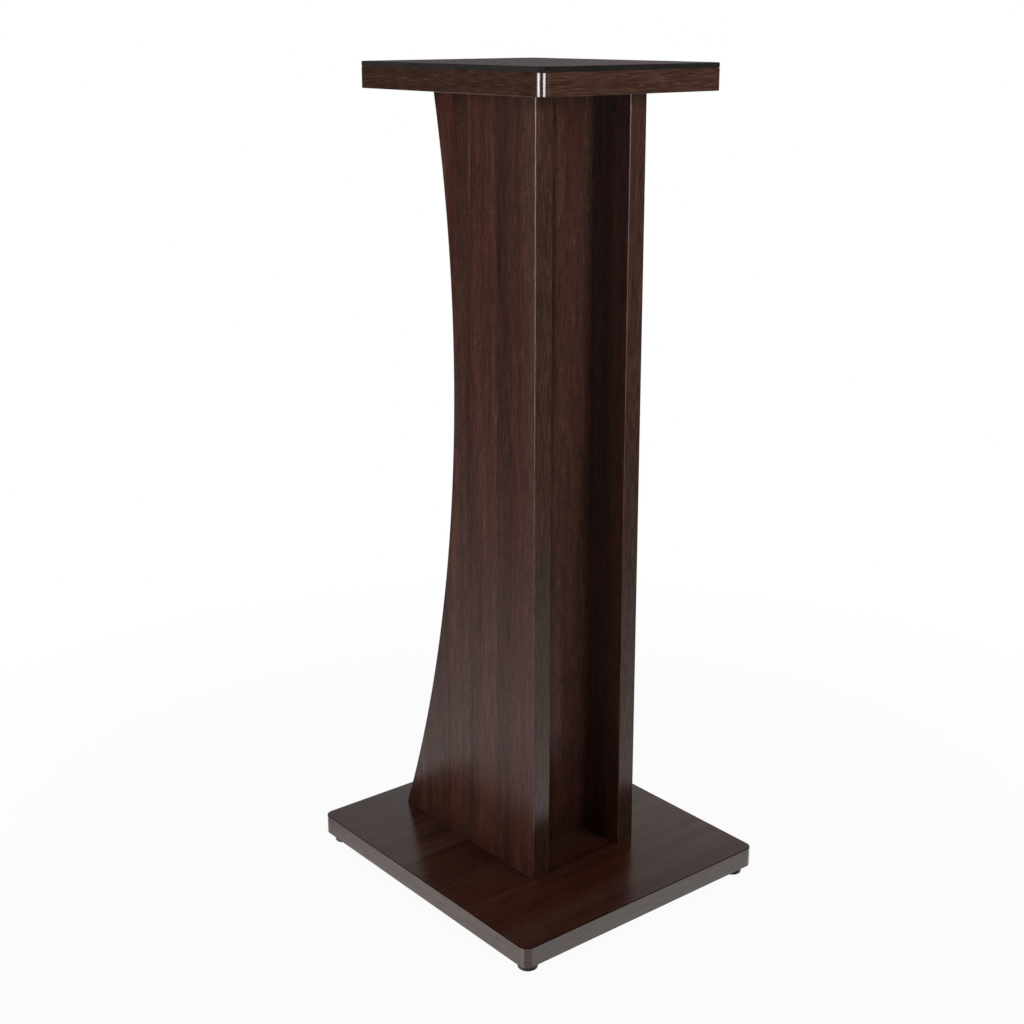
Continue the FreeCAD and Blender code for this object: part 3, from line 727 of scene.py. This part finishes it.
class STAND_OT_feet(bpy.types.Operator):
    """Turn the four foot discs and their threaded studs"""

    bl_idname = "stand.feet"
    bl_label = "Levelling feet"

    def execute(self, context):
        c = colours()
        plastic = moulded_plastic("moulded_foot_plastic", c.foot, 0.45, 0.7)
        steel = plated_metal("zinc_plated_steel", c.zinc_plate, 0.35, 2.0, 0.00002)
        for corner in CORNERS:
            self.disc(corner, plastic)
            self.stud(corner, steel)
        return {"FINISHED"}

    @staticmethod
    def disc(corner, plastic):
        """Moulded disc: rounded edge, a shallow hollow beneath and a socket for the spigot."""
        s = sizes()
        low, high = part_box(f"{corner}_foot")
        spigot_low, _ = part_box(f"{corner}_stud")
        radius = (high.x - low.x) / 2
        soft = s.disc_softening
        tall = high.z - low.z
        floor = spigot_low.z - low.z
        chamfer = 0.5 * MM
        hollow, ring = radius * 0.55, radius * 0.62
        steps = 5

        def quarter(start, height):
            """A quarter turn of the rounded edge, from an angle in degrees."""
            angles = [math.radians(start + 90 * i / steps) for i in range(steps + 1)]
            return [
                (radius - soft + soft * math.cos(a), height + soft * math.sin(a))
                for a in angles
            ]

        profile = [
            (0, s.disc_hollow),
            (hollow, s.disc_hollow),
            (ring, 0),
            *quarter(-90, soft),
            *quarter(0, tall - soft),
            (s.socket_radius + chamfer, tall),
            (s.socket_radius, tall - chamfer),
            (s.socket_radius, floor),
            (0, floor),
        ]
        centre = ((low.x + high.x) / 2, (low.y + high.y) / 2, low.z)
        mesh = lathe(profile, centre, FOOT_STEPS)
        smoothed(mesh)
        foot = f"{corner}_foot"
        finished(mesh, f"{corner}_disc", foot, plastic, [foot])

    @staticmethod
    def stud(corner, steel):
        """Spigot, hexagon collar and a real helical M6 thread."""
        s = sizes()
        low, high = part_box(f"{corner}_stud")
        _, disc_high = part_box(f"{corner}_foot")
        centre = Vector(((low.x + high.x) / 2, (low.y + high.y) / 2, 0))
        collar_top = disc_high.z + s.collar_height
        outer, root = s.stud_radius, s.stud_radius - s.thread_deep
        overlap = 0.5 * MM
        turns = math.ceil((high.z - collar_top) / s.thread_pitch) + 3
        mesh = bmesh.new()
        points = [
            mesh.verts.new((r, 0, z * s.thread_pitch))
            for r, z in (
                (root, 0),
                (root, 0.12),
                (outer, 0.44),
                (outer, 0.56),
                (root, 0.88),
                (root, 1),
            )
        ]
        for a, b in zip(points, points[1:]):
            mesh.edges.new((a, b))
        bmesh.ops.spin(
            mesh,
            geom=mesh.verts[:] + mesh.edges[:],
            cent=(0, 0, 0),
            axis=(0, 0, 1),
            dvec=(0, 0, s.thread_pitch / THREAD_STEPS),
            angle=math.tau * turns,
            steps=THREAD_STEPS * turns,
        )
        start = Vector((0, 0, collar_top - 2 * overlap - 1.5 * s.thread_pitch))
        bmesh.ops.translate(mesh, vec=start, verts=mesh.verts)
        bmesh.ops.remove_doubles(mesh, verts=mesh.verts, dist=10 * SAME)
        for z, up in ((collar_top - overlap, -1), (high.z, 1)):
            cut_level(mesh, z, up)
        fill_open_ends(mesh)
        outward(mesh)
        collar = bmesh.new()
        point = s.collar_across / math.sqrt(3)
        bmesh.ops.create_cone(
            collar,
            cap_ends=True,
            segments=6,
            radius1=point,
            radius2=point,
            depth=collar_top - disc_high.z,
        )
        bmesh.ops.translate(
            collar, vec=(0, 0, (collar_top + disc_high.z) / 2), verts=collar.verts
        )
        break_edge = 0.3 * MM
        rounded(collar, [e for e in collar.edges if is_level(e)], break_edge, 2)
        spigot_top = disc_high.z + 0.2 * MM
        spigot = lathe(
            [
                (0, low.z),
                (s.spigot_radius - break_edge, low.z),
                (s.spigot_radius, low.z + break_edge),
                (s.spigot_radius, spigot_top),
                (0, spigot_top),
            ],
            (0, 0, 0),
            SPIGOT_STEPS,
        )
        for part in (collar, spigot):
            data = bpy.data.meshes.new("part_of_stud")
            part.to_mesh(data)
            part.free()
            mesh.from_mesh(data)
            bpy.data.meshes.remove(data)
        bmesh.ops.translate(mesh, vec=centre, verts=mesh.verts)
        smoothed(mesh)
        finished(
            mesh,
            f"{corner}_threaded_stud",
            f"{corner}_stud",
            steel,
            [f"{corner}_stud"],
        )


class STAND_OT_fittings(bpy.types.Operator):
    """Finish the cams, bolts, screws, inserts and dowels inside the joints"""

    bl_idname = "stand.fittings"
    bl_label = "Joint fittings"

    def execute(self, context):
        c = colours()
        cast = plated_metal("die_cast_zinc", c.zinc_cast, 0.5, 1.2, 0.00006)
        steel = plated_metal("zinc_plated_screw_steel", c.zinc_plate, 0.35, 2.0, 0.00002)
        coat(cast, "top_cam_housings", "web_cam_housings", "foot_inserts")
        coat(steel, "top_cam_bolts", "web_cam_bolts", "base_screws")
        coat(beech_dowel("turned_beech"), "top_dowels", "base_dowels", "web_dowels")
        return {"FINISHED"}


# ------------------------------------------------------------------ stage


# The studio round the stand, as soft panels of light: azimuth and half width, elevation and
# half height, in degrees, and level, where 1 is white. Azimuth runs from +X towards +Y, and
# the camera stands at -129.
SOFT_PANELS = {
    "floor_below": (0, 180, -66, 26, 0.15),
    "floor_left": (174, 24, -30, 10, 1.3),
    "floor_front": (-90, 30, -30, 10, 0.15),
    "floor_right": (-45, 15, -30, 10, 0.5),
    "floor_rear": (45, 75, -30, 10, 0.6),
    "floor_far_left": (135, 15, -30, 10, 0.2),
    "floor_edge": (0, 180, -33, 5, 0.95),
    "left_low": (165, 15, -4, 12, 2.2),
    "left_near": (-173, 8, 0, 14, 2.2),
    "left_high": (172, 22, 20, 10, 1.3),
    "front_low": (-75, 15, -5, 15, 0.3),
    "front_high": (-75, 15, 20, 10, 0.4),
    "rear_right": (15, 15, 20, 10, 1.8),
    "back_wall": (45, 15, 12, 18, 0.7),
    "rear_high": (90, 30, 35, 25, 0.3),
    "overhead": (0, 180, 75, 15, 0.6),
}
# Narrow lamps that only the glossy rays meet: they draw the lines on the rounded corners.
STRIPS = {
    "left_strip": (175, 12, -1.8, 1.8, 22.0),
    "left_strip_foot": (175, 12, -9, 6, 4.5),
    "near_strip": (-122.5, 12, -1.8, 1.8, 22.0),
    "near_strip_foot": (-122.5, 12, -9, 6, 4.5),
}
# width of the soft edge of a panel and of a strip, in degrees
PANEL_EDGE, STRIP_EDGE = 2.5, 1.2
ROOM_LEVEL = 0.02
# the photo's camera: place in metres, Euler angles in degrees, lens and sensor in mm, and
# the shift as a share of the sensor
VIEW_PLACE, VIEW_ANGLES = (-1.0869, -1.2998, 0.9533), (74.546, 0.080, -39.041)
VIEW_LENS, VIEW_SENSOR, VIEW_SHIFT = 55.80, 36, (0.0003, -0.0499)
# the floor is a disc, whose share of plain white grows with the distance from the stand
FLOOR_RADIUS, WHITE_REACH, WHITE_SHARE = 9, (0.45, 1.0), (0.95, 1.0)
# the soft box in front of the column's head: size, place and aim in metres, power in watts
BOX_SIZE, BOX_PLACE, BOX_AIM = (0.35, 0.25), (0.20, -0.80, 0.97), (0.02, -0.03, 0.80)
BOX_POWER = 2.1


def panel_light(tree, bearing, height, panel, soft):
    """The light of one soft panel in a direction, given as a bearing and a height in radians.
    soft is the width of the panel's soft edge in degrees."""
    azimuth, wide, elevation, tall, level = panel
    off, rise = (
        add_node(
            tree,
            "ShaderNodeMath",
            {0: direction, 1: math.radians(middle)},
            operation="SUBTRACT",
        ).outputs["Value"]
        for direction, middle in ((bearing, azimuth), (height, elevation))
    )
    off = add_node(
        tree, "ShaderNodeMath", {0: off, 1: math.pi, 2: -math.pi}, operation="WRAP"
    ).outputs["Value"]
    light = level
    for offset, half in ((off, wide), (rise, tall)):
        away = add_node(
            tree, "ShaderNodeMath", {0: offset}, operation="ABSOLUTE"
        ).outputs["Value"]
        edge = (math.radians(half - soft / 2), math.radians(half + soft / 2))
        window = spread(tree, away, edge, (1.0, 0.0))
        light = add_node(
            tree, "ShaderNodeMath", {0: window, 1: light}, operation="MULTIPLY"
        ).outputs["Value"]
    return light


class STAND_OT_stage(bpy.types.Operator):
    """Set the pale floor, the soft light, the white surround and the camera"""

    bl_idname = "stand.stage"
    bl_label = "Stage and camera"

    def execute(self, context):
        scene = context.scene
        self.floor()
        self.surround(scene)
        self.lamp(scene)
        view = bpy.data.cameras.new("photo_view")
        view.sensor_width = VIEW_SENSOR
        view.lens = VIEW_LENS
        view.shift_x, view.shift_y = VIEW_SHIFT
        camera = bpy.data.objects.new("photo_view", view)
        camera.location = VIEW_PLACE
        camera.rotation_euler = [math.radians(a) for a in VIEW_ANGLES]
        scene.collection.objects.link(camera)
        scene.camera = camera
        scene.view_settings.view_transform = "Standard"
        return {"FINISHED"}

    @staticmethod
    def floor():
        """Matt white floor that the camera sees as white, with the stand's soft shadow. The
        stand itself is lit by the surround's own lower half, so its light skips the floor."""
        mesh = bmesh.new()
        bmesh.ops.create_circle(mesh, cap_ends=True, segments=96, radius=FLOOR_RADIUS)
        data = bpy.data.meshes.new("pale_floor")
        mesh.to_mesh(data)
        mesh.free()
        floor = bpy.data.objects.new("pale_floor", data)
        bpy.context.scene.collection.objects.link(floor)
        floor.visible_diffuse = False
        floor.visible_glossy = False
        floor.visible_transmission = False
        material, tree, surface = blank_material("matt_white_floor_paint")
        place = add_node(tree, "ShaderNodeTexCoord").outputs["Object"]
        reach = add_node(
            tree, "ShaderNodeVectorMath", {0: place}, operation="LENGTH"
        ).outputs["Value"]
        white_share = spread(tree, reach, WHITE_REACH, WHITE_SHARE)
        surface.inputs["Base Color"].default_value = grey(0.9)
        surface.inputs["Roughness"].default_value = 0.9
        surface.inputs["Specular IOR Level"].default_value = 0.0
        path = add_node(tree, "ShaderNodeLightPath")
        seen = add_node(
            tree,
            "ShaderNodeMath",
            {0: white_share, 1: path.outputs["Is Camera Ray"]},
            operation="MULTIPLY",
        ).outputs["Value"]
        white = add_node(tree, "ShaderNodeEmission", {"Color": grey(1.0), "Strength": 1.0})
        both = add_node(
            tree,
            "ShaderNodeMixShader",
            {0: seen, 1: surface.outputs["BSDF"], 2: white.outputs["Emission"]},
        )
        out = next(n for n in tree.nodes if n.type == "OUTPUT_MATERIAL")
        tree.links.new(both.outputs["Shader"], out.inputs["Surface"])
        floor.data.materials.append(material)

    @staticmethod
    def lamp(scene):
        """Soft box in front of the column's head: the web darkens from its light downwards."""
        light = bpy.data.lights.new("front_soft_box", "AREA")
        light.shape = "RECTANGLE"
        light.size, light.size_y = BOX_SIZE
        light.energy = BOX_POWER
        lamp = bpy.data.objects.new("front_soft_box", light)
        lamp.location = BOX_PLACE
        towards = Vector(BOX_AIM) - Vector(BOX_PLACE)
        lamp.rotation_euler = towards.to_track_quat("-Z", "Y").to_euler()
        lamp.visible_camera = False
        lamp.visible_glossy = False
        scene.collection.objects.link(lamp)

    @staticmethod
    def surround(scene):
        """White to the camera, and soft panels of light to the stand."""
        world = bpy.data.worlds.new("studio_surround")
        scene.world = world
        world.use_nodes = True
        tree = world.node_tree
        tree.nodes.clear()
        towards = add_node(tree, "ShaderNodeTexCoord").outputs["Generated"]
        part = add_node(tree, "ShaderNodeSeparateXYZ", {"Vector": towards}).outputs
        bearing = add_node(
            tree, "ShaderNodeMath", {0: part["Y"], 1: part["X"]}, operation="ARCTAN2"
        ).outputs["Value"]
        height = add_node(
            tree, "ShaderNodeMath", {0: part["Z"]}, operation="ARCSINE"
        ).outputs["Value"]
        path = add_node(tree, "ShaderNodeLightPath")
        light = ROOM_LEVEL
        for panel in SOFT_PANELS.values():
            glow = panel_light(tree, bearing, height, panel, PANEL_EDGE)
            light = add_node(
                tree, "ShaderNodeMath", {0: glow, 1: light}, operation="ADD"
            ).outputs["Value"]
        for strip in STRIPS.values():
            shine = panel_light(tree, bearing, height, strip, STRIP_EDGE)
            light = add_node(
                tree,
                "ShaderNodeMath",
                {0: shine, 1: path.outputs["Is Glossy Ray"], 2: light},
                operation="MULTIPLY_ADD",
            ).outputs["Value"]
        level = add_node(
            tree,
            "ShaderNodeMix",
            {0: path.outputs["Is Camera Ray"], 2: light, 3: 1.0},
            data_type="FLOAT",
        ).outputs[0]
        back = add_node(
            tree, "ShaderNodeBackground", {"Color": grey(1.0), "Strength": level}
        )
        out = add_node(tree, "ShaderNodeOutputWorld")
        tree.links.new(back.outputs["Background"], out.inputs["Surface"])


# ------------------------------------------------------------------ add-on


OPERATORS = (
    STAND_OT_boards,
    STAND_OT_plate_bands,
    STAND_OT_column_bands,
    STAND_OT_pad,
    STAND_OT_cover_caps,
    STAND_OT_feet,
    STAND_OT_fittings,
    STAND_OT_stage,
)


class STAND_PT_panel(bpy.types.Panel):
    """The stand's sizes, colours and pieces"""

    bl_idname = "STAND_PT_panel"
    bl_label = "Speaker stand"
    bl_space_type = "VIEW_3D"
    bl_region_type = "UI"
    bl_category = "Speaker stand"

    def draw(self, context):
        for group in (context.scene.stand_sizes, context.scene.stand_colours):
            box = self.layout.box()
            for key in group.__annotations__:
                box.prop(group, key)
        for operator in OPERATORS:
            self.layout.operator(operator.bl_idname)


CLASSES = (StandSizes, StandColours, *OPERATORS, STAND_PT_panel)


def register():
    for cls in CLASSES:
        bpy.utils.register_class(cls)
    bpy.types.Scene.stand_sizes = bpy.props.PointerProperty(type=StandSizes)
    bpy.types.Scene.stand_colours = bpy.props.PointerProperty(type=StandColours)


def unregister():
    del bpy.types.Scene.stand_colours
    del bpy.types.Scene.stand_sizes
    for cls in reversed(CLASSES):
        bpy.utils.unregister_class(cls)


def main():
    register()
    bpy.ops.stand.stage()
    bpy.ops.stand.boards()
    bpy.ops.stand.plate_bands()
    bpy.ops.stand.column_bands()
    bpy.ops.stand.pad()
    bpy.ops.stand.cover_caps()
    bpy.ops.stand.feet()
    bpy.ops.stand.fittings()


if __name__ == "__main__":
    main()
